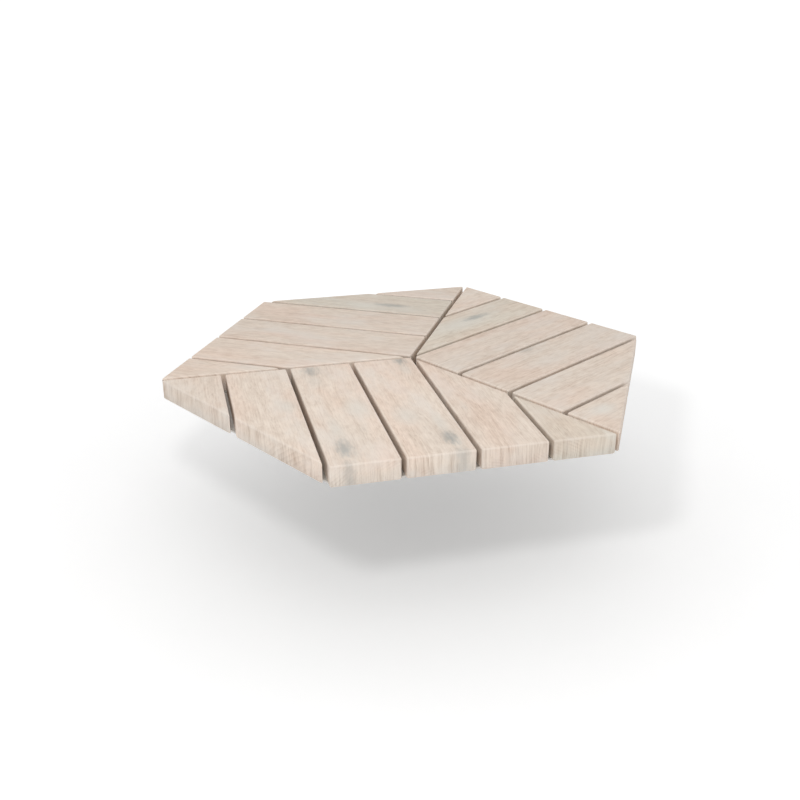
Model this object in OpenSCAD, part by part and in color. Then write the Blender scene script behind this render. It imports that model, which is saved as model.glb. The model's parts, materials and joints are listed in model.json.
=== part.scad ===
// Seat of a hexagonal bench. Three rhombic bays of boards turn round the centre like a pinwheel.
// The boards of a bay are screwed from below to a steel plate, and the three plates are bolted
// to six tubular arms that meet on a hub plate. Millimetres, +Z up. The origin is the centre of
// the hexagon, on the plane that the hub plate and the six bearing pads stand on.

/* [Seat] */
// Width of a full board; four boards and the gaps between them make one side of the hexagon
board_w = 140; // [125:1:155]
// Thickness of the boards
board_t = 46; // [36:1:60]
// Open gap between two boards, and between two bays
board_gap = 10; // [6:0.5:12]
// Chamfer that eases the long and short edges of a board
edge_ease = 3; // [1:0.5:5]

/* [Board screws] */
// Diameter of a board screw's shank
screw_d = 6; // [5:0.5:7]
// Diameter of a board screw's countersunk head
screw_head_d = 12; // [10:0.5:13]
// How far a board screw goes into its board
screw_depth = 30; // [20:1:32]
// Length of a board screw's point
screw_point = 5; // [3:0.5:8]
// Distance from the long edge of a board to its screws
screw_edge = 32; // [26:1:45]
// Distance from the end of a board to its nearest screws
screw_end = 55; // [48:1:64]
// Distance from the sharp corner of a bay to its last screw
screw_tip = 65; // [62:1:85]

/* [Bay bolts] */
// Diameter of the bolts that hold a bay to an arm
bolt_d = 8; // [6:1:10]
// Width of a bolt's head across its flats
bolt_head_w = 13; // [12:1:17]
// Height of a bolt's head
bolt_head_t = 5; // [4:0.5:6]
// Diameter of a bolt's washer
washer_d = 18; // [17:1:22]
// Thickness of a bolt's washer
washer_t = 1.5; // [1:0.1:1.8]
// How much wider than its bolt a bolt hole is
bolt_play = 1; // [0.5:0.1:2]
// Distance from the middle of an arm to its bolts
bolt_offset = 24; // [20:1:26]
// Place of an arm's inner pair of bolts, in board pitches from the centre
bolt_inner = 1.4; // [1.35:0.01:1.45]
// Place of an arm's outer pair of bolts, in board pitches from the centre
bolt_outer = 2.6; // [2.55:0.01:2.65]
// Outer diameter of the threaded insert that a bolt screws into
insert_d = 12; // [11:0.5:14]
// Length of the threaded insert
insert_l = 18; // [12:1:25]
// How far a bolt's end stays below the top of its insert
bolt_short = 3; // [1:0.5:6]

/* [Bay plates] */
// Thickness of the steel plate under a bay
plate_t = 4; // [3.5:0.5:8]
// How far a bay plate stays back from the outline of the seat
plate_setback = 15; // [10:1:18]

/* [Arms] */
// Width of an arm's tube
arm_w = 80; // [70:1:90]
// Height of an arm's tube
arm_h = 40; // [32:1:50]
// Wall of an arm's tube
arm_wall = 3; // [2:0.5:5]
// How far the arms stay back from the corners of the seat
arm_setback = 140; // [110:5:170]
// Clear gap between two neighbouring arms at the hub
arm_gap = 6; // [3:0.5:10]
// Thickness of an end cap's flange
cap_t = 3; // [2:0.5:5]
// How far an end cap's plug goes into its tube
cap_plug = 12; // [8:1:14]
// Wall of an end cap's hollow plug
cap_wall = 2.5; // [1.5:0.5:4]

/* [Hub and pads] */
// Thickness of the hub plate and of the bearing pads
hub_t = 8; // [7:0.5:12]
// Distance from the centre to a corner of the hub plate
hub_r = 190; // [180:1:215]
// Diameter of the hub plate's bore, which lets rain water out
hub_bore_d = 60; // [30:1:80]
// Diameter of the circle of mounting holes in the hub plate
mount_pcd = 300; // [280:1:310]
// Diameter of a mounting hole
mount_hole_d = 14; // [11:1:18]
// Diameter of the screws that hold an arm to the hub plate
hub_screw_d = 10; // [8:1:10]
// Diameter of a hub screw's countersunk head
hub_screw_head_d = 20; // [16:1:21]
// Distance from the centre to an arm's inner hub screw
hub_screw_r = 102; // [98:1:108]
// Distance between an arm's two hub screws
hub_screw_pitch = 40; // [30:1:44]
// Outer diameter of the rivet nut that a hub screw goes into
rivet_d = 13; // [13:0.5:15]
// Length of the rivet nut
rivet_l = 18; // [14:1:22]
// Diameter of the rivet nut's collar inside the arm
rivet_collar_d = 18; // [16.5:0.5:22]
// Thickness of the rivet nut's collar
rivet_collar_t = 4; // [2:0.5:6]
// Length of a bearing pad along its arm
pad_l = 90; // [60:1:110]
// Width of a bearing pad
pad_w = 70; // [50:1:70]
// Rounding of a bearing pad's corners
pad_r = 8; // [2:1:14]

/* [Hidden] */
// Gap left round each fitted piece
clearance = 0.1;
// Overshoot of a cutting tool past the face that it cuts
over = 1;
$fn = 48;

// Each bay and each corner arm has its name and the direction that it turns to
bays = [["front", 180], ["right", -60], ["left", 60]];
arms = [["right", 0], ["back_right", 60], ["back_left", 120],
        ["left", 180], ["front_left", 240], ["front_right", 300]];
board_numbers = [1:6];

// Heights of the layers, from the bottom up
arm_z = hub_t;
plate_z = arm_z + arm_h;
board_z = plate_z + plate_t;

// A bay in its own frame: x runs across the boards, y along them, the centre of the seat at 0, 0.
// Gap number n between boards n and n + 1 lies n - 2 board pitches from the centre.
pitch = board_w + board_gap;
side = 4 * board_w + 3 * board_gap;
root3 = sqrt(3);
apothem = side * root3 / 2;
function board_from(number) = number == 1 ? -side / 2 : (number - 3) * pitch + board_gap / 2;
function board_to(number) = number == 6 ? side : (number - 2) * pitch - board_gap / 2;
function bay_from(x) = max(board_gap / 2, board_gap - root3 * x);
function bay_to(x) = min(apothem, root3 * (side - x));

// Half planes [normal x, normal y, distance] that bound a bay, and the strip of one board
function bay_limits(seam_setback, rim_setback) = [
    [0, -1, -board_gap / 2 - seam_setback],
    [-root3 / 2, -1 / 2, -board_gap / 2 - seam_setback],
    [0, 1, apothem - rim_setback],
    [root3 / 2, 1 / 2, apothem - rim_setback]
];
function strip_limits(number, setback) = [
    [-1, 0, -board_from(number) - setback],
    [1, 0, board_to(number) - setback]
];

// The part of a convex outline that lies inside one half plane, then inside all of a list
function beyond(point, limit) = limit[0] * point.x + limit[1] * point.y - limit[2];
function clip(points, limit) = [
    for (i = [0 : len(points) - 1])
        let (
            p = points[i],
            q = points[(i + 1) % len(points)],
            p_beyond = beyond(p, limit),
            q_beyond = beyond(q, limit)
        )
        each concat(
            p_beyond <= 0 ? [p] : [],
            p_beyond * q_beyond < 0 ? [p + (q - p) * p_beyond / (p_beyond - q_beyond)] : []
        )
];
function clip_all(points, limits, i = 0) =
    i == len(limits) ? points : clip_all(clip(points, limits[i]), limits, i + 1);

sheet = 2 * side * [[-1, -1], [1, -1], [1, 1], [-1, 1]];
bay_plate_outline = clip_all(sheet, bay_limits(0, plate_setback));
function board_outline(number, setback) =
    clip_all(sheet, concat(bay_limits(setback, setback), strip_limits(number, setback)));

// Screws of one board: a row across each end, or one screw where the board is too short for two
function screw_columns(number) = [
    number == 1 ? screw_tip - side / 2 : board_from(number) + screw_edge,
    number == 6 ? side - screw_tip : board_to(number) - screw_edge
];
function column_screws(x) =
    let (from = bay_from(x), to = bay_to(x))
    to - from > 2.5 * screw_end
        ? [[x, from + screw_end], [x, to - screw_end]]
        : [[x, (from + to) / 2]];
function board_screws(number) = [for (x = screw_columns(number)) each column_screws(x)];

// Bolts of one arm, the arm along x; a bay lies on both sides of its middle arm and on the inner
// sides of the two arms under its seams
bolt_stations = [bolt_inner * pitch, bolt_outer * pitch];
arm_bolts = [for (r = bolt_stations) for (offset = [-bolt_offset, bolt_offset]) [r, offset]];
function turned(point, angle) = [
    point.x * cos(angle) - point.y * sin(angle),
    point.x * sin(angle) + point.y * cos(angle)
];
bay_bolts = concat(
    [for (bolt = arm_bolts) if (bolt.y > 0) bolt],
    [for (bolt = arm_bolts) turned(bolt, 60)],
    [for (bolt = arm_bolts) if (bolt.y < 0) turned(bolt, 120)]
);

arm_from = arm_w / 2 / tan(30) + arm_gap / 2 / sin(30);
arm_to = side - arm_setback;
hub_screw_stations = [hub_screw_r, hub_screw_r + hub_screw_pitch];
pad_middle = (bolt_stations[0] + bolt_stations[1]) / 2;

// Solid board with chamfered edges, its lower face at height 0
module eased_block(number) {
    hull() {
        linear_extrude(board_t)
            polygon(board_outline(number, edge_ease));
        translate([0, 0, edge_ease])
            linear_extrude(board_t - 2 * edge_ease)
                polygon(board_outline(number, 0));
    }
}

// Hole with its mouth at height 0, opening downwards
module blind_hole(d, depth) {
    translate([0, 0, -over])
        cylinder(d = d + 2 * clearance, h = depth + clearance + over);
}

// Screw with a 90 degree countersunk head, head down, its head's face at height 0
module countersunk_screw(d, head_d, length, point) {
    head_t = (head_d - d) / 2;
    cylinder(d1 = head_d, d2 = d, h = head_t);
    cylinder(d = d, h = length - point);
    translate([0, 0, length - point])
        cylinder(d1 = d, d2 = d / 4, h = point);
}

// Through hole for that screw in a plate whose lower face is at height 0
module countersunk_hole(d, head_d, depth) {
    head_t = (head_d - d) / 2;
    translate([0, 0, -over])
        cylinder(d = d + 2 * clearance, h = depth + 2 * over);
    translate([0, 0, -over])
        cylinder(d1 = head_d + 2 * clearance + 2 * over, d2 = d + 2 * clearance, h = head_t + over);
}

module board(number) {
    color("#dccfc0")
        translate([0, 0, board_z])
            difference() {
                eased_block(number);
                for (screw = board_screws(number))
                    translate(screw)
                        blind_hole(screw_d, screw_depth);
                for (bolt = bay_bolts)
                    if (bolt.x > board_from(number) && bolt.x < board_to(number))
                        translate(bolt)
                            blind_hole(insert_d, insert_l);
            }
}

module bay_plate() {
    color("#e5e1db")
        translate([0, 0, plate_z])
            difference() {
                linear_extrude(plate_t)
                    polygon(bay_plate_outline);
                for (number = board_numbers, screw = board_screws(number))
                    translate(screw)
                        countersunk_hole(screw_d, screw_head_d, plate_t);
                for (bolt = bay_bolts)
                    translate([bolt.x, bolt.y, -over])
                        cylinder(d = bolt_d + bolt_play, h = plate_t + 2 * over);
            }
}

module bay_board_screws() {
    color("#c9c9c6")
        for (number = board_numbers, screw = board_screws(number))
            translate([screw.x, screw.y, plate_z])
                countersunk_screw(screw_d, screw_head_d, plate_t + screw_depth, screw_point);
}

// Arm along x: a rectangular tube with holes for the bay bolts and the rivet nuts
module arm() {
    color("#5c5e60")
        difference() {
            translate([arm_from, -arm_w / 2, arm_z])
                cube([arm_to - cap_t - arm_from, arm_w, arm_h]);
            translate([arm_from - over, arm_wall - arm_w / 2, arm_z + arm_wall])
                cube([arm_to - arm_from + 2 * over, arm_w - 2 * arm_wall, arm_h - 2 * arm_wall]);
            for (bolt = arm_bolts)
                translate([bolt.x, bolt.y, arm_z - over])
                    cylinder(d = bolt_d + bolt_play, h = arm_h + 2 * over);
            for (r = hub_screw_stations)
                translate([r, 0, arm_z])
                    blind_hole(rivet_d, arm_wall + over);
        }
}

module bearing_pad() {
    color("#2b2b2b")
        translate([pad_middle, 0])
            linear_extrude(hub_t)
                offset_rectangle(pad_l, pad_w, pad_r);
}

// Rectangle with round corners, made of true arcs
module offset_rectangle(length, width, r) {
    square([length - 2 * r, width], center = true);
    square([length, width - 2 * r], center = true);
    for (x = [-1, 1], y = [-1, 1])
        translate([x * (length / 2 - r), y * (width / 2 - r)])
            circle(r);
}

module threaded_inserts() {
    color("#b9b5a6")
        for (arm = arms, bolt = arm_bolts)
            rotate([0, 0, arm[1]])
                translate([bolt.x, bolt.y, board_z])
                    difference() {
                        cylinder(d = insert_d, h = insert_l);
                        translate([0, 0, -over])
                            cylinder(d = bolt_d + 2 * clearance, h = insert_l + 2 * over);
                    }
}

module bay_bolts() {
    bolt_l = washer_t + arm_h + plate_t + insert_l - bolt_short;
    color("#c9c9c6")
        for (arm = arms, bolt = arm_bolts)
            rotate([0, 0, arm[1]])
                translate([bolt.x, bolt.y, arm_z - washer_t]) {
                    translate([0, 0, -bolt_head_t])
                        cylinder(d = bolt_head_w / cos(30), h = bolt_head_t, $fn = 6);
                    cylinder(d = bolt_d, h = bolt_l);
                }
}

module bay_bolt_washers() {
    color("#d5d5d2")
        for (arm = arms, bolt = arm_bolts)
            rotate([0, 0, arm[1]])
                translate([bolt.x, bolt.y, arm_z - washer_t])
                    difference() {
                        cylinder(d = washer_d, h = washer_t);
                        translate([0, 0, -over])
                            cylinder(d = bolt_d + 2 * clearance, h = washer_t + 2 * over);
                    }
}

module arm_end_caps() {
    plug_w = arm_w - 2 * arm_wall - 2 * clearance;
    plug_h = arm_h - 2 * arm_wall - 2 * clearance;
    color("#1f1f1f")
        for (arm = arms)
            rotate([0, 0, arm[1]])
                translate([arm_to - cap_t, 0, arm_z + arm_h / 2]) {
                    translate([0, -arm_w / 2, -arm_h / 2])
                        cube([cap_t, arm_w, arm_h]);
                    difference() {
                        translate([-cap_plug, -plug_w / 2, -plug_h / 2])
                            cube([cap_plug, plug_w, plug_h]);
                        translate([-cap_plug - over, cap_wall - plug_w / 2, cap_wall - plug_h / 2])
                            cube([cap_plug + over, plug_w - 2 * cap_wall, plug_h - 2 * cap_wall]);
                    }
                }
}

module hub_plate() {
    color("#5c5e60")
        difference() {
            rotate([0, 0, 30])
                cylinder(r = hub_r, h = hub_t, $fn = 6);
            translate([0, 0, -over])
                cylinder(d = hub_bore_d, h = hub_t + 2 * over);
            for (arm = arms)
                rotate([0, 0, arm[1]]) {
                    for (r = hub_screw_stations)
                        translate([r, 0])
                            countersunk_hole(hub_screw_d, hub_screw_head_d, hub_t);
                    rotate([0, 0, 30])
                        translate([mount_pcd / 2, 0, -over])
                            cylinder(d = mount_hole_d, h = hub_t + 2 * over);
                }
        }
}

module hub_screws() {
    color("#c9c9c6")
        for (arm = arms, r = hub_screw_stations)
            rotate([0, 0, arm[1]])
                translate([r, 0])
                    countersunk_screw(hub_screw_d, hub_screw_head_d, hub_t + rivet_l - over, over);
}

module rivet_nuts() {
    color("#b9b5a6")
        for (arm = arms, r = hub_screw_stations)
            rotate([0, 0, arm[1]])
                translate([r, 0, arm_z])
                    difference() {
                        union() {
                            cylinder(d = rivet_d, h = rivet_l);
                            translate([0, 0, arm_wall])
                                cylinder(d = rivet_collar_d, h = rivet_collar_t);
                        }
                        translate([0, 0, -over])
                            cylinder(d = hub_screw_d + 2 * clearance, h = rivet_l + 2 * over);
                    }
}

for (bay = bays) {
    for (number = board_numbers)
        rotate([0, 0, bay[1]]) board(number);
    rotate([0, 0, bay[1]]) bay_plate();
    rotate([0, 0, bay[1]]) bay_board_screws();
}
for (arm = arms) {
    rotate([0, 0, arm[1]]) arm();
    rotate([0, 0, arm[1]]) bearing_pad();
}
threaded_inserts();
bay_bolts();
bay_bolt_washers();
arm_end_caps();
hub_plate();
hub_screws();
rivet_nuts();
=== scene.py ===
"""Hexagonal bench seat of whitewashed oak boards on a steel frame, dressed for rendering.

Metres, +Z up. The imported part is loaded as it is. The boards are laid again as oak boards
with rounded edges; the steel, the fasteners, the pads and the caps keep their solids and get
their finishes.
"""

import json
import math
import random

import bpy
from bpy.props import FloatProperty, FloatVectorProperty, PointerProperty
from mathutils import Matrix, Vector

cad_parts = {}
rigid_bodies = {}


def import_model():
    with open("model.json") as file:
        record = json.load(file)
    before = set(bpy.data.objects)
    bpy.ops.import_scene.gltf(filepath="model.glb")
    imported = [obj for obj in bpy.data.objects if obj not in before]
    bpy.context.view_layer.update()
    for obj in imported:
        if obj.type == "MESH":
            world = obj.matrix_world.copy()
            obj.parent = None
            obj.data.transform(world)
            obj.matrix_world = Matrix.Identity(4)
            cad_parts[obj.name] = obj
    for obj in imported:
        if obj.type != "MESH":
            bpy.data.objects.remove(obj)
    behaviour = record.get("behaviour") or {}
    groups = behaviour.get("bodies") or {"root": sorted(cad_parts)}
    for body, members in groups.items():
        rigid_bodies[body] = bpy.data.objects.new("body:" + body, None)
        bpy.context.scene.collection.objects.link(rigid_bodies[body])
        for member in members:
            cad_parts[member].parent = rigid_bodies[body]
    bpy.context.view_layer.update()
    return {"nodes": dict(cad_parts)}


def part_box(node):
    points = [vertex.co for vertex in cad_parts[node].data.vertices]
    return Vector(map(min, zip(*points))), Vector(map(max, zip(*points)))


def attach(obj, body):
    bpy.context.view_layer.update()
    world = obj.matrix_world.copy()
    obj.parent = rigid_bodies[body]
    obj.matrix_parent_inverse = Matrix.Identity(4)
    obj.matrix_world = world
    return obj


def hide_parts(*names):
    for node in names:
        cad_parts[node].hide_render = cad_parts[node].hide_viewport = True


for leftover in list(bpy.data.objects):
    bpy.data.objects.remove(leftover)
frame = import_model()

bl_info = {
    "name": "Hexagonal bench seat",
    "version": (1, 0, 0),
    "blender": (4, 5, 0),
    "location": "View3D > Sidebar > Bench",
    "description": "Lays the oak boards, finishes the steel frame and sets the stage",
    "category": "Object",
}

# How far each bay is turned about the centre, in degrees
BAY_TURNS = {"front": 180.0, "right": -60.0, "left": 60.0}
FIRST_BOARD, LAST_BOARD = 1, 6
# The gap before this board points at the centre of the bench
BOARD_PAST_CENTRE = 3
ARMS = ("right", "back_right", "back_left", "left", "front_left", "front_right")

# Knots: bay, board, place across and along the bay, half width, half length, in metres, and
# depth of colour
KNOTS = (
    ("front", 4, 0.253, 0.034, 0.018, 0.029, 0.8),
    ("front", 4, 0.252, 0.441, 0.018, 0.038, 0.85),
    ("front", 4, 0.257, 0.515, 0.013, 0.024, 0.5),
    ("front", 3, 0.037, 0.022, 0.015, 0.024, 0.9),
    ("front", 3, 0.040, 0.445, 0.016, 0.032, 0.95),
    ("front", 3, 0.033, 0.515, 0.016, 0.024, 0.5),
    ("left", 5, 0.358, 0.158, 0.014, 0.045, 0.8),
    ("right", 2, -0.086, 0.324, 0.014, 0.045, 0.9),
    ("right", 4, 0.165, 0.230, 0.010, 0.025, 0.5),
)
# Pale patches: bay, board, place across and along the bay, half width and half length
PALE_PATCHES = (
    ("front", 5, 0.333, 0.219, 0.026, 0.045),
    ("front", 4, 0.190, 0.263, 0.032, 0.055),
    ("front", 3, 0.097, 0.321, 0.032, 0.055),
    ("right", 2, -0.078, 0.253, 0.040, 0.110),
    ("left", 5, 0.341, 0.224, 0.040, 0.090),
    ("right", 6, 0.500, 0.075, 0.030, 0.040),
)
# How dark boards 1 to 6 of each bay are, 0 for the palest: their own weathered tone, with painted
# shade that darkens the boards of the back bays
BOARD_SHADES = {
    "front": (0.4, 0.2, 0.05, 0.0, 0.07, 0.25),
    "right": (0.28, 0.43, 0.48, 0.46, 0.36, 0.29),
    "left": (0.23, 0.3, 0.45, 0.49, 0.65, 0.53),
}
# How deep the painted shade lies on the gap walls of boards 1 to 6 that face the bay's first board
GAP_SHADES = {
    "front": (0.52, 0.93, 0.91, 1.0, 0.95, 0.9),
    "right": (1.0, 1.0, 0.9, 1.0, 0.85, 0.9),
    "left": (0.9, 0.48, 0.34, 0.48, 1.0, 1.0),
}
GREENER_BOARDS = (("right", 2), ("left", 5), ("front", 1))

WHITE = (1.0, 1.0, 1.0)
# Tints that the oak's colour is multiplied by
ROSY_TINT = (1.02, 0.965, 0.945)
TONE_AND_PAINTED_SHADE_TINT = (0.80, 0.81, 0.82)
GREENER_TINT = (0.96, 1.0, 0.99)
PAINTED_GAP_SHADE_TINT = (0.42, 0.42, 0.41)
PAINTED_LOW_SHADE_TINT = (0.880, 0.905, 0.930)
# Colours that are laid over the oak's
PALE_PATCH_COLOUR = (0.84, 0.81, 0.74)
ROUND_KNOTS_COLOUR = (0.66, 0.63, 0.57)

# Distance between two growth rings
RING_SPACING = 0.0064
# Halfway along a bay: knots on either side of it have their pale tails towards it
HALFWAY_ALONG = 0.26
# Heights between which painted shade grows on the boards' ends, greyer and darker from the upper
# to the lower
END_SHADE_HEIGHTS = (0.082, 0.054)
# Boards lie this far apart in the grain pattern, so that no two share a streak
GRAIN_APART = 3.0

# Points this near to a flat side belong to it, and points this near to each other are one
ON_FLAT = 0.00002
SAME_POINT = 0.00005
# A face belongs to a limit of the bay, or to a gap between boards, where its normal has at
# least this much of that way
FACES_LIMIT = 0.7
FACES_GAP = 0.9
# How upright a face is where the painted shade on gap walls begins
SHADE_FROM = 0.84
# Edges at least this sharp, in degrees, are rounded, with this many facets
ROUNDED_FROM = 20.0
ROUNDING_FACETS = 5

FLOOR_RADIUS = 60.0
FLOOR_CORNERS = 96
# Glow of the floor for the camera: two distances from the bench, and the strength at each; the
# glow grows towards the white background, and its weaker glow near the bench paints shade round it
FLOOR_GLOW = (0.5, 3.0, 0.222, 0.50)
# Painted shade near the seat: what is taken off the glow there, where the pale plates light the
# floor from above
PAINTED_SEAT_SHADE = (0.4, 1.0, 0.062, 0.0)
# Places of the lamp, the soft box and the camera, from the middle of the seat's top
LAMP_PLACE = (-0.620, -1.327, 1.029)
SOFT_BOX_PLACE = (-0.3, -1.6, 2.2)
CAMERA_PLACE = (-0.5566, -2.0890, 0.8419)
LAMP_RADIUS = 0.10
SOFT_BOX_WIDTH = 1.5
# The camera's tilt, turn and angle of view, in degrees
CAMERA_TILT = 66.126
CAMERA_TURN = -14.14
CAMERA_ANGLE = 45.0


def cad_side():
    """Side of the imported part's hexagon, whose flats the front boards reach."""
    return -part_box("front_board_3")[0][1] * 2 / math.sqrt(3.0)


def cad_pitch():
    """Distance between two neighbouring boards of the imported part."""
    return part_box("front_board_3")[0][0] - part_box("front_board_4")[0][0]


def cad_gap():
    """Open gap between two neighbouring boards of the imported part."""
    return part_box("front_board_3")[0][0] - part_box("front_board_4")[1][0]


class BenchSeatSizes(bpy.types.PropertyGroup):
    """Sizes of the boards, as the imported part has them."""

    side: FloatProperty(
        name="Side",
        description="Length of one side of the hexagon",
        default=round(cad_side(), 5),
        min=0.4,
        unit="LENGTH",
        subtype="DISTANCE",
    )
    pitch: FloatProperty(
        name="Board pitch",
        description="Distance from one board to the next",
        default=round(cad_pitch(), 5),
        min=0.1,
        unit="LENGTH",
        subtype="DISTANCE",
    )
    gap: FloatProperty(
        name="Gap",
        description="Open gap between two boards, and between two bays",
        default=round(cad_gap(), 5),
        min=0.001,
        unit="LENGTH",
        subtype="DISTANCE",
    )
    rounding: FloatProperty(
        name="Edge rounding",
        description="Radius of the boards' rounded edges",
        default=0.0042,
        min=0.001,
        max=0.01,
        unit="LENGTH",
        subtype="DISTANCE",
    )


class BenchFinishes(bpy.types.PropertyGroup):
    """Colours of the oak and of the powder coats."""

    oak: FloatVectorProperty(
        name="Oak",
        description="Main colour of the whitewashed oak",
        default=(0.990, 0.860, 0.740),
        size=3,
        min=0.0,
        max=1.0,
        subtype="COLOR",
    )
    oak_grain: FloatVectorProperty(
        name="Oak grain",
        description="Colour of the darker grain lines",
        default=(0.650, 0.515, 0.410),
        size=3,
        min=0.0,
        max=1.0,
        subtype="COLOR",
    )
    oak_wash: FloatVectorProperty(
        name="Wash",
        description="Colour of the white wash where it lies thick",
        default=(0.940, 0.860, 0.780),
        size=3,
        min=0.0,
        max=1.0,
        subtype="COLOR",
    )
    oak_knot: FloatVectorProperty(
        name="Knots",
        description="Colour of the grey knots",
        default=(0.330, 0.350, 0.340),
        size=3,
        min=0.0,
        max=1.0,
        subtype="COLOR",
    )
    plate: FloatVectorProperty(
        name="Bay plates",
        description="Colour of the powder coat on the plates under the bays",
        default=(0.780, 0.750, 0.710),
        size=3,
        min=0.0,
        max=1.0,
        subtype="COLOR",
    )
    steelwork: FloatVectorProperty(
        name="Steelwork",
        description="Colour of the powder coat on the arms and the hub plate",
        default=(0.095, 0.100, 0.105),
        size=3,
        min=0.0,
        max=1.0,
        subtype="COLOR",
    )


class BenchStage(bpy.types.PropertyGroup):
    """Floor, light and camera."""

    seat_height: FloatProperty(
        name="Seat height",
        description="Height of the seat's top above the floor",
        default=0.45,
        min=0.1,
        unit="LENGTH",
        subtype="DISTANCE",
    )
    lamp_strength: FloatProperty(
        name="Lamp",
        description="Strength of the lamp at the front left",
        default=7.2,
        min=0.0,
    )
    soft_box_strength: FloatProperty(
        name="Soft box",
        description="Strength of the soft box above the front",
        default=7.2,
        min=0.0,
    )
    sky_strength: FloatProperty(
        name="Sky",
        description="Strength of the even light from all round",
        default=0.652,
        min=0.0,
    )


def deselect_all():
    """Object mode, with nothing selected."""
    if bpy.context.mode != "OBJECT":
        bpy.ops.object.mode_set(mode="OBJECT")
    bpy.ops.object.select_all(action="DESELECT")


class Nodes:
    """Short ways to add nodes to a node tree, which is emptied first."""

    def __init__(self, tree):
        self.tree = tree
        self.tree.nodes.clear()

    def node(self, kind, inputs=None, **settings):
        """A node with its settings, and its inputs by name or number, each a value or a link."""
        made = self.tree.nodes.new(kind)
        for name, value in settings.items():
            setattr(made, name, value)
        for name, value in (inputs or {}).items():
            self.feed(made.inputs[name], value)
        return made

    def feed(self, socket, value):
        """Links a socket where value is one, or sets it."""
        if isinstance(value, bpy.types.NodeSocket):
            self.tree.links.new(value, socket)
        elif socket.type == "RGBA" and len(value) == 3:
            socket.default_value = (*value, 1.0)
        else:
            socket.default_value = value

    def place(self):
        """Place in the bench's own frame, in metres."""
        return self.node("ShaderNodeTexCoord").outputs["Object"]

    def stretch(self, vector, across, along, height):
        """The vector with its three lengths multiplied."""
        factors = (across, along, height)
        made = self.node("ShaderNodeVectorMath", {0: vector, 1: factors}, operation="MULTIPLY")
        return made.outputs[0]

    def shift(self, vector, by):
        """The vector moved by another."""
        return self.node("ShaderNodeVectorMath", {0: vector, 1: by}, operation="ADD").outputs[0]

    def length(self, vector):
        """Length of the vector."""
        return self.node("ShaderNodeVectorMath", {0: vector}, operation="LENGTH").outputs[1]

    def noise(self, vector, scale=1.0, detail=3.0, roughness=0.5):
        """Cloudy noise between 0 and 1."""
        made = self.node(
            "ShaderNodeTexNoise",
            {"Vector": vector, "Scale": scale, "Detail": detail, "Roughness": roughness},
        )
        return made.outputs["Fac"]

    def calc(self, operation, first, second=0.0, third=0.0, clamp=False):
        """One step of arithmetic on one to three values."""
        values = {0: first, 1: second, 2: third}
        made = self.node("ShaderNodeMath", values, operation=operation, use_clamp=clamp)
        return made.outputs[0]

    def span(self, value, low, high, to_low=0.0, to_high=1.0):
        """The value's way from low to high, eased, as a value from to_low to to_high."""
        made = self.node(
            "ShaderNodeMapRange",
            {
                "Value": value,
                "From Min": low,
                "From Max": high,
                "To Min": to_low,
                "To Max": to_high,
            },
            interpolation_type="SMOOTHSTEP",
        )
        return made.outputs["Result"]

    def blend(self, amount, first, second, mode="MIX"):
        """The first colour, changed by an amount into the second or by the second."""
        made = self.node("ShaderNodeMix", data_type="RGBA", blend_type=mode)
        self.feed(made.inputs[0], amount)
        self.feed(made.inputs[6], first)
        self.feed(made.inputs[7], second)
        return made.outputs[2]

    def join(self, x, y, z):
        """A vector from three values."""
        return self.node("ShaderNodeCombineXYZ", {0: x, 1: y, 2: z}).outputs[0]

    def split(self, vector):
        """The three values of a vector."""
        return self.node("ShaderNodeSeparateXYZ", {0: vector}).outputs

    def soft_edges(self, radius):
        """A normal that rounds the edges off by the radius."""
        return self.node("ShaderNodeBevel", {"Radius": radius}, samples=4).outputs[0]

    def relief(self, height, depth, strength, under=None):
        """A normal that shows the height pattern, depth metres deep."""
        made = self.node(
            "ShaderNodeBump", {"Height": height, "Distance": depth, "Strength": strength}
        )
        if under is not None:
            self.feed(made.inputs["Normal"], under)
        return made.outputs[0]


class Finish(Nodes):
    """A material with its shader, and the nodes that feed it."""

    def __init__(self, name):
        self.material = bpy.data.materials.new(name)
        self.material.use_nodes = True
        super().__init__(self.material.node_tree)
        self.output = self.node("ShaderNodeOutputMaterial")
        self.shader = self.node("ShaderNodeBsdfPrincipled")
        self.feed(self.output.inputs[0], self.shader.outputs[0])

    def set(self, **sockets):
        """Feeds the shader's own sockets, named with underscores for their spaces."""
        for name, value in sockets.items():
            self.feed(self.shader.inputs[name.replace("_", " ")], value)
        return self.material


def grain_shift(bay, number):
    """Where a board was cut from its tree: each board has its own place in the grain pattern."""
    cut = random.Random(f"{bay} {number}")
    return (
        cut.uniform(-0.06, 0.06),
        GRAIN_APART * (list(BAY_TURNS).index(bay) * LAST_BOARD + number),
        cut.uniform(0.05, 0.16),
    )


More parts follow.
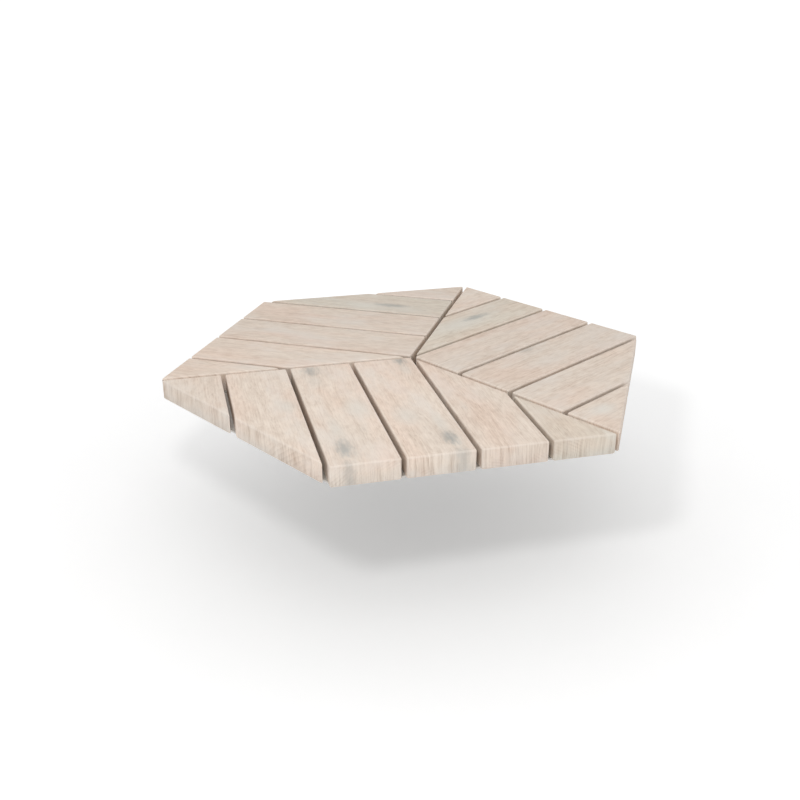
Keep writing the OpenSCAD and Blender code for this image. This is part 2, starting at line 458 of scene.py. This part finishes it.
def whitewashed_oak(colours):
    """Whitewashed oak: fine streaks and flecks, growth rings, grey knots and pale patches."""
    oak = Finish("whitewashed_oak")
    grain = oak.node("ShaderNodeAttribute", attribute_name="grain").outputs["Vector"]
    edge, shade, green, wall, end = (
        oak.node("ShaderNodeAttribute", attribute_name=name).outputs["Fac"]
        for name in ("edge", "shade", "green", "wall", "end")
    )

    def spot(bay, number, across, along, half_width, half_length):
        """Distance from a place on a board, 1 at the given half width and half length."""
        shift = grain_shift(bay, number)
        middle = (-across - shift[0], -along - shift[1], 0.0)
        away = oak.stretch(oak.shift(grain, middle), 1 / half_width, 1 / half_length, 0.0)
        return oak.length(away)

    feather = oak.noise(oak.stretch(grain, 160.0, 45.0, 60.0), detail=4.0, roughness=0.6)
    knot, around_knots, pale = 0.0, 0.0, 0.0
    for bay, number, across, along, half_width, half_length, depth in KNOTS:
        distance = spot(bay, number, across, along, half_width, half_length)
        frayed = oak.calc("MULTIPLY_ADD", feather, 1.8, oak.calc("SUBTRACT", distance, 0.9))
        knot = oak.calc("MAXIMUM", knot, oak.span(frayed, 1.5, 0.0, 0.0, depth))
        around_knots = oak.calc("MAXIMUM", around_knots, oak.span(distance, 5.0, 0.6))
        onward = half_length * (2.2 if along < HALFWAY_ALONG else -2.2)
        tail = spot(bay, number, across, along + onward, half_width * 0.9, half_length * 1.4)
        pale = oak.calc("MAXIMUM", pale, oak.span(tail, 1.4, 0.2, 0.0, 0.6))
    for patch in PALE_PATCHES:
        pale = oak.calc("MAXIMUM", pale, oak.span(spot(*patch), 1.3, 0.1))

    # The grain wanders a little sideways, and flows round the knots
    wave = oak.noise(oak.stretch(grain, 7.0, 1.6, 7.0), detail=2.0)
    ripple = oak.noise(oak.stretch(grain, 24.0, 8.0, 24.0), detail=2.0)
    aside = oak.calc("MULTIPLY_ADD", wave, 0.024, -0.012)
    aside = oak.calc("MULTIPLY_ADD", ripple, 0.005, aside)
    aside = oak.calc("MULTIPLY_ADD", around_knots, 0.010, aside)
    wandering = oak.shift(grain, oak.join(aside, 0.0, 0.0))
    across, _, height = oak.split(wandering)

    # Growth rings round a heart that lies under the board
    rise = oak.noise(oak.stretch(grain, 0.0, 1.3, 0.0), detail=1.0)
    below = oak.calc("MULTIPLY_ADD", rise, 0.08, height)
    radius = oak.length(oak.join(across, 0.0, below))
    ring_place = oak.calc("FRACT", oak.calc("MULTIPLY", radius, 1 / RING_SPACING))
    late_wood = oak.span(ring_place, 0.20, 0.90)
    late_wood = oak.calc("SUBTRACT", late_wood, oak.span(ring_place, 0.90, 1.0))
    patchy = oak.noise(oak.stretch(grain, 22.0, 7.0, 22.0), detail=3.0)
    late_wood = oak.calc("MULTIPLY", late_wood, oak.span(patchy, 0.42, 0.68), clamp=True)

    # Streaks, flecks and pores run along the board, and show as upright strokes on its ends
    streak = oak.noise(oak.stretch(wandering, 260.0, 9.0, 7.0), detail=4.0, roughness=0.62)
    fleck = oak.noise(oak.stretch(wandering, 380.0, 42.0, 16.0), detail=3.0, roughness=0.6)
    band = oak.noise(oak.stretch(wandering, 48.0, 3.0, 4.0), detail=3.0)
    mottle = oak.noise(oak.stretch(grain, 75.0, 34.0, 20.0), detail=4.0, roughness=0.6)
    pore = oak.noise(oak.stretch(wandering, 1100.0, 45.0, 180.0), detail=2.0)
    pores = oak.span(pore, 0.66, 0.56, 1.0, 0.0)

    dark = oak.calc("MULTIPLY", oak.span(streak, 0.36, 0.70), 0.36)
    dark = oak.calc("MULTIPLY_ADD", oak.span(fleck, 0.46, 0.72), 0.40, dark)
    dark = oak.calc("MULTIPLY_ADD", late_wood, 0.22, dark)
    dark = oak.calc("MULTIPLY", dark, oak.span(band, 0.28, 0.72, 0.45, 1.0))
    dark = oak.calc("MULTIPLY_ADD", oak.span(mottle, 0.34, 0.70), 0.28, dark)
    dark = oak.calc("MULTIPLY", dark, oak.calc("MULTIPLY_ADD", end, 0.5, 1.0))
    dark = oak.calc("MULTIPLY_ADD", end, -0.14, dark, clamp=True)
    colour = oak.blend(dark, colours.oak, colours.oak_grain)
    wash = oak.noise(oak.stretch(grain, 15.0, 6.0, 15.0), detail=4.0, roughness=0.6)
    colour = oak.blend(oak.span(wash, 0.44, 0.70, 0.0, 0.6), colour, colours.oak_wash)
    rosy = oak.noise(oak.stretch(grain, 11.0, 3.5, 11.0), detail=3.0)
    colour = oak.blend(oak.span(rosy, 0.38, 0.66), colour, ROSY_TINT, "MULTIPLY")
    # Each board's own tone, with painted shade on the boards of the back bays
    colour = oak.blend(shade, colour, TONE_AND_PAINTED_SHADE_TINT, "MULTIPLY")
    colour = oak.blend(green, colour, GREENER_TINT, "MULTIPLY")

    colour = oak.blend(oak.calc("MULTIPLY", pale, 0.55), colour, PALE_PATCH_COLOUR)
    colour = oak.blend(oak.calc("MULTIPLY", around_knots, 0.16), colour, ROUND_KNOTS_COLOUR)
    colour = oak.blend(oak.calc("MULTIPLY", knot, 0.70), colour, colours.oak_knot)
    colour = oak.blend(oak.calc("MULTIPLY", pores, 0.20), colour, colours.oak_grain)
    colour = oak.blend(oak.calc("MULTIPLY", edge, 0.25), colour, colours.oak_wash)
    # Painted shade on the walls of the gaps between boards
    colour = oak.blend(wall, colour, PAINTED_GAP_SHADE_TINT, "MULTIPLY")
    # Painted shade: the ends turn a little greyer and darker towards their lower edges
    low_down = oak.span(oak.split(oak.place())[2], *END_SHADE_HEIGHTS)
    painted_low_shade = oak.calc("MULTIPLY", end, oak.calc("MULTIPLY_ADD", low_down, 0.75, 0.20))
    colour = oak.blend(painted_low_shade, colour, PAINTED_LOW_SHADE_TINT, "MULTIPLY")

    hollow = oak.calc("MULTIPLY_ADD", pores, 0.5, oak.calc("MULTIPLY", dark, 0.5))
    return oak.set(
        Base_Color=colour,
        Roughness=oak.calc("MULTIPLY_ADD", dark, 0.12, 0.62),
        Normal=oak.relief(oak.calc("SUBTRACT", 1.0, hollow), 0.0004, 0.5),
        IOR=1.45,
        Specular_IOR_Level=0.3,
    )


def powder_coat(name, colour, worn):
    """Matt powder coat on steel, with its fine texture, dust and rubbed edges."""
    coat = Finish(name)
    place = coat.place()
    peel = coat.noise(place, scale=900.0, detail=2.0)
    cloud = coat.noise(place, scale=7.0, detail=4.0, roughness=0.6)
    speck = coat.noise(place, scale=160.0, detail=3.0, roughness=0.7)
    faded = (0.80, 0.80, 0.79)
    shade = coat.blend(coat.span(cloud, 0.3, 0.7, 0.0, 0.5), colour, faded, "MULTIPLY")
    dust = coat.calc("MULTIPLY", coat.span(speck, 0.56, 0.75), coat.span(cloud, 0.35, 0.65))
    dusty = (0.46, 0.44, 0.40)
    shade = coat.blend(coat.calc("MULTIPLY", dust, 0.25), shade, dusty)
    true_normal = coat.node("ShaderNodeNewGeometry").outputs["Normal"]
    eased = coat.soft_edges(0.0012)
    turned = coat.node(
        "ShaderNodeVectorMath", {0: eased, 1: true_normal}, operation="DOT_PRODUCT"
    ).outputs[1]
    rubbed = coat.calc("MULTIPLY", coat.span(turned, 0.985, 0.80), coat.span(speck, 0.42, 0.60))
    shade = coat.blend(rubbed, shade, worn)
    rough = coat.span(cloud, 0.2, 0.8, 0.46, 0.62)
    return coat.set(
        Base_Color=shade,
        Roughness=rough,
        Normal=coat.relief(peel, 0.00006, 0.6, eased),
    )


def bright_metal(name, colour, rough_low, rough_high, brushed):
    """Bare or plated metal with fine turning lines and a patchy shine."""
    metal = Finish(name)
    place = metal.place()
    lines = metal.noise(metal.stretch(place, 300.0, 300.0, brushed), detail=2.0)
    patch = metal.noise(place, scale=60.0, detail=3.0, roughness=0.6)
    dulled = (0.78, 0.77, 0.75)
    shade = metal.blend(metal.span(patch, 0.3, 0.7, 0.0, 0.6), colour, dulled, "MULTIPLY")
    rough = metal.calc(
        "MULTIPLY_ADD", lines, 0.08, metal.span(patch, 0.3, 0.7, rough_low, rough_high)
    )
    eased = metal.soft_edges(0.0004)
    return metal.set(
        Base_Color=shade,
        Metallic=1.0,
        Roughness=rough,
        Normal=metal.relief(lines, 0.00003, 0.5, eased),
    )


def black_rubber():
    """Matt black rubber, dusty and faintly pitted."""
    rubber = Finish("black_rubber")
    place = rubber.place()
    pits = rubber.noise(place, scale=700.0, detail=3.0, roughness=0.7)
    dust = rubber.noise(place, scale=45.0, detail=4.0, roughness=0.65)
    black, dusty = (0.018, 0.018, 0.018), (0.07, 0.067, 0.06)
    shade = rubber.blend(rubber.span(dust, 0.45, 0.75, 0.0, 0.5), black, dusty)
    eased = rubber.soft_edges(0.0010)
    return rubber.set(
        Base_Color=shade,
        Roughness=rubber.span(dust, 0.3, 0.7, 0.70, 0.88),
        Normal=rubber.relief(pits, 0.0001, 0.5, eased),
    )


def grained_plastic():
    """Black moulded plastic with a fine grain and scuffed corners."""
    plastic = Finish("grained_plastic")
    place = plastic.place()
    pebble = plastic.node(
        "ShaderNodeTexVoronoi", {"Vector": place, "Scale": 900.0}, feature="SMOOTH_F1"
    ).outputs["Distance"]
    scuff = plastic.noise(plastic.stretch(place, 60.0, 60.0, 240.0), detail=4.0, roughness=0.7)
    black, scuffed = (0.016, 0.016, 0.017), (0.065, 0.065, 0.065)
    shade = plastic.blend(plastic.span(scuff, 0.55, 0.75, 0.0, 0.6), black, scuffed)
    eased = plastic.soft_edges(0.0008)
    return plastic.set(
        Base_Color=shade,
        Roughness=plastic.span(scuff, 0.3, 0.7, 0.48, 0.62),
        Normal=plastic.relief(pebble, 0.00008, 0.6, eased),
    )


def coat_nodes(names, material):
    """Gives CAD nodes a finish through their own material slots."""
    for name in names:
        for slot in frame["nodes"][name].material_slots:
            slot.material = material


def bay_limits(sizes):
    """Upright planes that bound a bay in its own frame: normal and distance from the centre."""
    apothem = sizes.side * math.sqrt(3.0) / 2
    half_gap = sizes.gap / 2
    slant = math.sqrt(3.0) / 2
    return [
        ((0.0, -1.0, 0.0), -half_gap),
        ((-slant, -0.5, 0.0), -half_gap),
        ((0.0, 1.0, 0.0), apothem),
        ((slant, 0.5, 0.0), apothem),
    ]


def board_span(sizes, number):
    """Where a board begins and ends across its bay."""
    past_centre = number - BOARD_PAST_CENTRE
    begin = past_centre * sizes.pitch + sizes.gap / 2
    end = (past_centre + 1) * sizes.pitch - sizes.gap / 2
    if number == FIRST_BOARD:
        begin = -sizes.side / 2
    if number == LAST_BOARD:
        end = sizes.side
    return begin, end


def cut_board(name, sizes, bay, number):
    """One board: a plank sawn to the outline of its bay, with rounded edges, turned into place."""
    low, high = (corner[2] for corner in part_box(name))
    begin, end = board_span(sizes, number)
    length = sizes.side
    deselect_all()
    bpy.ops.mesh.primitive_cube_add(
        size=1, location=((begin + end) / 2, length / 2, (low + high) / 2)
    )
    board = bpy.context.object
    board.name = f"oak_{name}"
    board.data.name = board.name
    board.scale = (end - begin, length, high - low)
    bpy.ops.object.transform_apply(location=True, rotation=True, scale=True)
    bpy.ops.object.mode_set(mode="EDIT")
    for normal, reach in bay_limits(sizes):
        bpy.ops.mesh.select_all(action="SELECT")
        bpy.ops.mesh.bisect(
            plane_co=[reach * n for n in normal],
            plane_no=normal,
            use_fill=True,
            clear_outer=True,
        )
    bpy.ops.mesh.select_all(action="SELECT")
    bpy.ops.mesh.remove_doubles(threshold=SAME_POINT)
    bpy.ops.mesh.normals_make_consistent(inside=False)
    bpy.ops.object.mode_set(mode="OBJECT")
    rounding = board.modifiers.new("rounded_edges", "BEVEL")
    rounding.width = sizes.rounding
    rounding.segments = ROUNDING_FACETS
    rounding.limit_method = "ANGLE"
    rounding.angle_limit = math.radians(ROUNDED_FROM)
    rounding.harden_normals = True
    bpy.ops.object.modifier_apply(modifier=rounding.name)
    mark_grain(board, sizes, bay, number, low, high)
    board.rotation_euler.z = math.radians(BAY_TURNS[bay])
    bpy.ops.object.transform_apply(location=True, rotation=True, scale=True)
    return board


def mark_grain(board, sizes, bay, number, low, high):
    """Writes each point's place in the grain and its tone with painted shade, and marks edges,
    walls with their painted shade, and ends.
    """
    shift = grain_shift(bay, number)
    begin, end_at = board_span(sizes, number)
    limits = bay_limits(sizes)
    flats = limits + [
        ((0.0, 0.0, -1.0), -low),
        ((0.0, 0.0, 1.0), high),
        ((-1.0, 0.0, 0.0), -begin),
        ((1.0, 0.0, 0.0), end_at),
    ]
    mesh = board.data
    mesh.attributes.new("grain", "FLOAT_VECTOR", "POINT")
    for name in ("edge", "shade", "green"):
        mesh.attributes.new(name, "FLOAT", "POINT")
    for name in ("wall", "end"):
        mesh.attributes.new(name, "FLOAT", "FACE")
    grain, edge, shade, green, wall, end = (
        mesh.attributes[name].data for name in ("grain", "edge", "shade", "green", "wall", "end")
    )
    for point, at in enumerate(mesh.vertices):
        grain[point].vector = [c + s for c, s in zip(at.co, shift)]
        on_flat = any(
            abs(sum(c * n for c, n in zip(at.co, normal)) - reach) < ON_FLAT
            for normal, reach in flats
        )
        edge[point].value = 0.0 if on_flat else 1.0
        # The board's tone, with its painted shade
        shade[point].value = BOARD_SHADES[bay][number - FIRST_BOARD]
        green[point].value = 1.0 if (bay, number) in GREENER_BOARDS else 0.0
    for number_of_face, face in enumerate(mesh.polygons):
        facing = [sum(a * b for a, b in zip(face.normal, normal)) for normal, _ in limits]
        upright = 1.0 - abs(face.normal.z)
        # The last two limits are the rim, and walls that face the last board look that way too
        looks_outwards = max(facing[2], facing[3]) > FACES_LIMIT
        cut_across = max(facing) > FACES_LIMIT and abs(face.normal.x) < FACES_GAP
        shaded = max(0.0, (upright - SHADE_FROM) / (1.0 - SHADE_FROM))
        deep = GAP_SHADES[bay][number - FIRST_BOARD] * shaded
        wall[number_of_face].value = 0.0 if looks_outwards or cut_across else deep
        end[number_of_face].value = upright if cut_across else 0.0


class BENCH_OT_boards(bpy.types.Operator):
    """Lay the eighteen oak boards in place of the part's plain ones"""

    bl_idname = "bench.boards"
    bl_label = "Lay the oak boards"

    def execute(self, context):
        sizes = context.scene.bench_sizes
        oak = whitewashed_oak(context.scene.bench_finishes)
        for bay in BAY_TURNS:
            for number in range(FIRST_BOARD, LAST_BOARD + 1):
                name = f"{bay}_board_{number}"
                board = cut_board(name, sizes, bay, number)
                board.data.materials.append(oak)
                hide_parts(name)
                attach(board, "root")
        deselect_all()
        return {"FINISHED"}


class BENCH_OT_steelwork(bpy.types.Operator):
    """Powder coat the bay plates, the arms and the hub plate"""

    bl_idname = "bench.steelwork"
    bl_label = "Coat the steelwork"

    def execute(self, context):
        colours = context.scene.bench_finishes
        rubbed_plate, rubbed_frame = (0.42, 0.42, 0.41), (0.22, 0.22, 0.215)
        plate = powder_coat("plate_powder_coat", colours.plate, rubbed_plate)
        coat_nodes([f"{bay}_bay_plate" for bay in BAY_TURNS], plate)
        steel = powder_coat("frame_powder_coat", colours.steelwork, rubbed_frame)
        coat_nodes([f"{arm}_arm" for arm in ARMS] + ["hub_plate"], steel)
        return {"FINISHED"}


class BENCH_OT_fasteners(bpy.types.Operator):
    """Finish the screws, bolts, washers, inserts and rivet nuts"""

    bl_idname = "bench.fasteners"
    bl_label = "Finish the fasteners"

    def execute(self, context):
        steel_grey, zinc_yellow = (0.56, 0.55, 0.53), (0.58, 0.52, 0.36)
        stainless = bright_metal("satin_stainless", steel_grey, 0.26, 0.38, 20.0)
        screws = [f"{bay}_board_screws" for bay in BAY_TURNS]
        coat_nodes(screws + ["bay_bolts", "bay_bolt_washers", "hub_screws"], stainless)
        zinc = bright_metal("yellow_zinc", zinc_yellow, 0.30, 0.46, 60.0)
        coat_nodes(["threaded_inserts", "rivet_nuts"], zinc)
        return {"FINISHED"}


class BENCH_OT_pads_and_caps(bpy.types.Operator):
    """Finish the bearing pads and the arms' end caps"""

    bl_idname = "bench.pads_and_caps"
    bl_label = "Finish the pads and caps"

    def execute(self, context):
        coat_nodes([f"{arm}_bearing_pad" for arm in ARMS], black_rubber())
        coat_nodes(["arm_end_caps"], grained_plastic())
        return {"FINISHED"}


def seen_directly(nodes):
    """1 where a ray comes straight from the camera or off something shiny or clear."""
    path = nodes.node("ShaderNodeLightPath").outputs
    direct = nodes.calc("ADD", path["Is Camera Ray"], path["Is Glossy Ray"])
    return nodes.calc("ADD", direct, path["Is Transmission Ray"], clamp=True)


def pale_floor():
    """Pale floor that keeps the seat's shadow, darkened near the seat by painted shade, and runs
    into the white background.
    """
    floor = Finish("pale_floor")
    place = floor.place()
    away = floor.length(place)
    # Glow that grows towards the white background and is less near the seat, which paints shade
    # there
    glow_with_painted_shade = floor.calc("SUBTRACT", floor.span(away, *FLOOR_GLOW), floor.span(away, *PAINTED_SEAT_SHADE))
    mottle = floor.noise(place, scale=3.0)
    colour = floor.blend(floor.span(mottle, 0.3, 0.7), (0.93, 0.93, 0.93), (0.94, 0.94, 0.94))
    floor.set(Base_Color=colour, Roughness=0.9, Specular_IOR_Level=0.0)
    glow = floor.node("ShaderNodeEmission", {"Color": WHITE, "Strength": glow_with_painted_shade})
    both = floor.node("ShaderNodeAddShader", {0: floor.shader.outputs[0], 1: glow.outputs[0]})
    choice = floor.node(
        "ShaderNodeMixShader",
        {0: seen_directly(floor), 1: floor.shader.outputs[0], 2: both.outputs[0]},
    )
    # Clear from below, so that the seat's underside can be looked at
    from_below = floor.node("ShaderNodeNewGeometry").outputs["Backfacing"]
    clear = floor.node("ShaderNodeBsdfTransparent")
    one_sided = floor.node(
        "ShaderNodeMixShader", {0: from_below, 1: choice.outputs[0], 2: clear.outputs[0]}
    )
    floor.feed(floor.output.inputs[0], one_sided.outputs[0])
    return floor.material


def light_the_world(strength):
    """Even white light from all round, and a white background."""
    world = bpy.data.worlds.new("even_sky")
    bpy.context.scene.world = world
    world.use_nodes = True
    sky = Nodes(world.node_tree)
    even = sky.node("ShaderNodeBackground", {"Color": WHITE, "Strength": strength})
    white = sky.node("ShaderNodeBackground", {"Color": WHITE, "Strength": 1.0})
    choice = sky.node(
        "ShaderNodeMixShader", {0: seen_directly(sky), 1: even.outputs[0], 2: white.outputs[0]}
    )
    sky.node("ShaderNodeOutputWorld", {0: choice.outputs[0]})


def over_seat(place, top):
    """A place that is given from the middle of the seat's top."""
    across, along, above = place
    return across, along, top + above


def lay_floor(level):
    """Wide round floor at a height."""
    bpy.ops.mesh.primitive_circle_add(
        vertices=FLOOR_CORNERS, radius=FLOOR_RADIUS, fill_type="NGON", location=(0, 0, level)
    )
    floor = bpy.context.object
    floor.name = "floor"
    bpy.ops.object.transform_apply(location=True, rotation=True, scale=True)
    floor.data.materials.append(pale_floor())


def hang_lamp(top, strength):
    """Small lamp at the front left, which gives near and far boards the same light."""
    bpy.ops.object.light_add(type="POINT", location=over_seat(LAMP_PLACE, top))
    lamp = bpy.context.object
    lamp.name = "front_left_lamp"
    lamp.data.energy = strength
    lamp.data.shadow_soft_size = LAMP_RADIUS
    lamp.data.use_nodes = True
    nodes, links = lamp.data.node_tree.nodes, lamp.data.node_tree.links
    fading = nodes.new("ShaderNodeLightFalloff")
    fading.inputs["Strength"].default_value = 1.0
    links.new(fading.outputs["Constant"], nodes["Emission"].inputs["Strength"])


def hang_soft_box(top, strength):
    """Soft box above the front, which looks at the middle of the seat's top."""
    bpy.ops.object.light_add(type="AREA", location=over_seat(SOFT_BOX_PLACE, top))
    soft_box = bpy.context.object
    soft_box.name = "soft_box"
    soft_box.data.shape = "SQUARE"
    soft_box.data.size = SOFT_BOX_WIDTH
    soft_box.data.energy = strength
    soft_box.rotation_euler = Vector(SOFT_BOX_PLACE).to_track_quat("Z", "Y").to_euler()
    soft_box.visible_camera = False


def set_camera(scene, top):
    """Camera where the photograph was taken from."""
    camera_data = bpy.data.cameras.new("camera")
    camera = bpy.data.objects.new("camera", camera_data)
    scene.collection.objects.link(camera)
    camera.location = over_seat(CAMERA_PLACE, top)
    camera.rotation_euler = (math.radians(CAMERA_TILT), 0.0, math.radians(CAMERA_TURN))
    camera_data.angle = math.radians(CAMERA_ANGLE)
    scene.camera = camera


class BENCH_OT_stage(bpy.types.Operator):
    """Set the floor, the light and the camera"""

    bl_idname = "bench.stage"
    bl_label = "Set the stage"

    def execute(self, context):
        stage = context.scene.bench_stage
        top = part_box("front_board_3")[1][2]
        deselect_all()
        lay_floor(top - stage.seat_height)
        light_the_world(stage.sky_strength)
        hang_lamp(top, stage.lamp_strength)
        hang_soft_box(top, stage.soft_box_strength)
        set_camera(context.scene, top)
        context.scene.view_settings.view_transform = "Standard"
        deselect_all()
        return {"FINISHED"}


class BENCH_PT_panel(bpy.types.Panel):
    """Sizes, colours and steps of the bench seat"""

    bl_idname = "BENCH_PT_panel"
    bl_label = "Hexagonal bench seat"
    bl_space_type = "VIEW_3D"
    bl_region_type = "UI"
    bl_category = "Bench"

    def draw(self, context):
        scene = context.scene
        for heading, group in (
            ("Sizes", scene.bench_sizes),
            ("Finishes", scene.bench_finishes),
            ("Stage", scene.bench_stage),
        ):
            box = self.layout.box()
            box.label(text=heading)
            for name in group.__annotations__:
                box.prop(group, name)
        steps = self.layout.column()
        for operator in OPERATORS:
            steps.operator(operator.bl_idname)


GROUPS = (BenchSeatSizes, BenchFinishes, BenchStage)
OPERATORS = (
    BENCH_OT_boards,
    BENCH_OT_steelwork,
    BENCH_OT_fasteners,
    BENCH_OT_pads_and_caps,
    BENCH_OT_stage,
)
CLASSES = (*GROUPS, *OPERATORS, BENCH_PT_panel)


def register():
    """Make the classes known, and give the scene their settings."""
    for made in CLASSES:
        bpy.utils.register_class(made)
    bpy.types.Scene.bench_sizes = PointerProperty(type=BenchSeatSizes)
    bpy.types.Scene.bench_finishes = PointerProperty(type=BenchFinishes)
    bpy.types.Scene.bench_stage = PointerProperty(type=BenchStage)


def unregister():
    """Take the settings and the classes away again."""
    del bpy.types.Scene.bench_stage
    del bpy.types.Scene.bench_finishes
    del bpy.types.Scene.bench_sizes
    for made in reversed(CLASSES):
        bpy.utils.unregister_class(made)


def main():
    """Register the add-on, and make every piece and the stage."""
    register()
    bpy.ops.bench.boards()
    bpy.ops.bench.steelwork()
    bpy.ops.bench.fasteners()
    bpy.ops.bench.pads_and_caps()
    bpy.ops.bench.stage()


if __name__ == "__main__":
    main()
